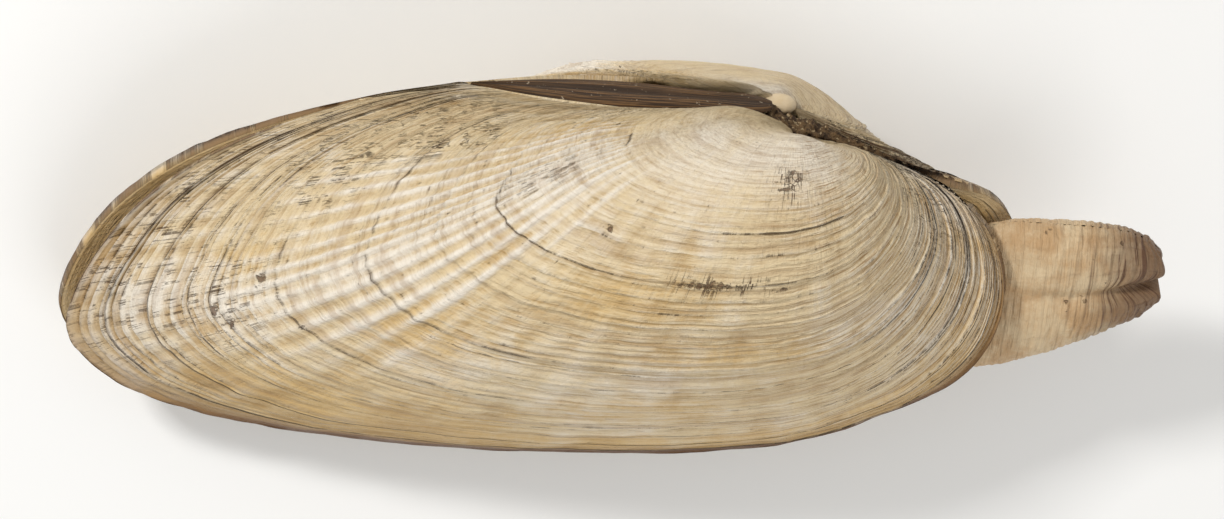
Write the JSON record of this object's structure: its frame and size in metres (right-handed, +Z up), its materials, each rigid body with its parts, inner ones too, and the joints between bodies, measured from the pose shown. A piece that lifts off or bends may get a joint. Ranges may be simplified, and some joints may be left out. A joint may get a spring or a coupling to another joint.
{
  "type": "gaping clam shell with dried siphon",
  "caption": "Long closed clam shell lying on one valve, ribbed and ledged, with a dark hinge ligament and a dried siphon sticking out of the gape at one end.",
  "frame": {"origin": "on the table under the middle of the shell's bounding box", "axes": "+X towards the siphon end along the shell, +Y towards the hinge side, +Z up from the table"},
  "size_m": [0.1298, 0.0496, 0.0404],
  "materials": {
    "upper_valve": "satin",
    "lower_valve": "satin",
    "ligament": "satin",
    "siphon": "satin"
  },
  "bodies": {
    "root": {"upper_valve": "upper_valve", "lower_valve": "lower_valve", "ligament": "ligament", "siphon": "siphon"}
  },
  "joints": []
}
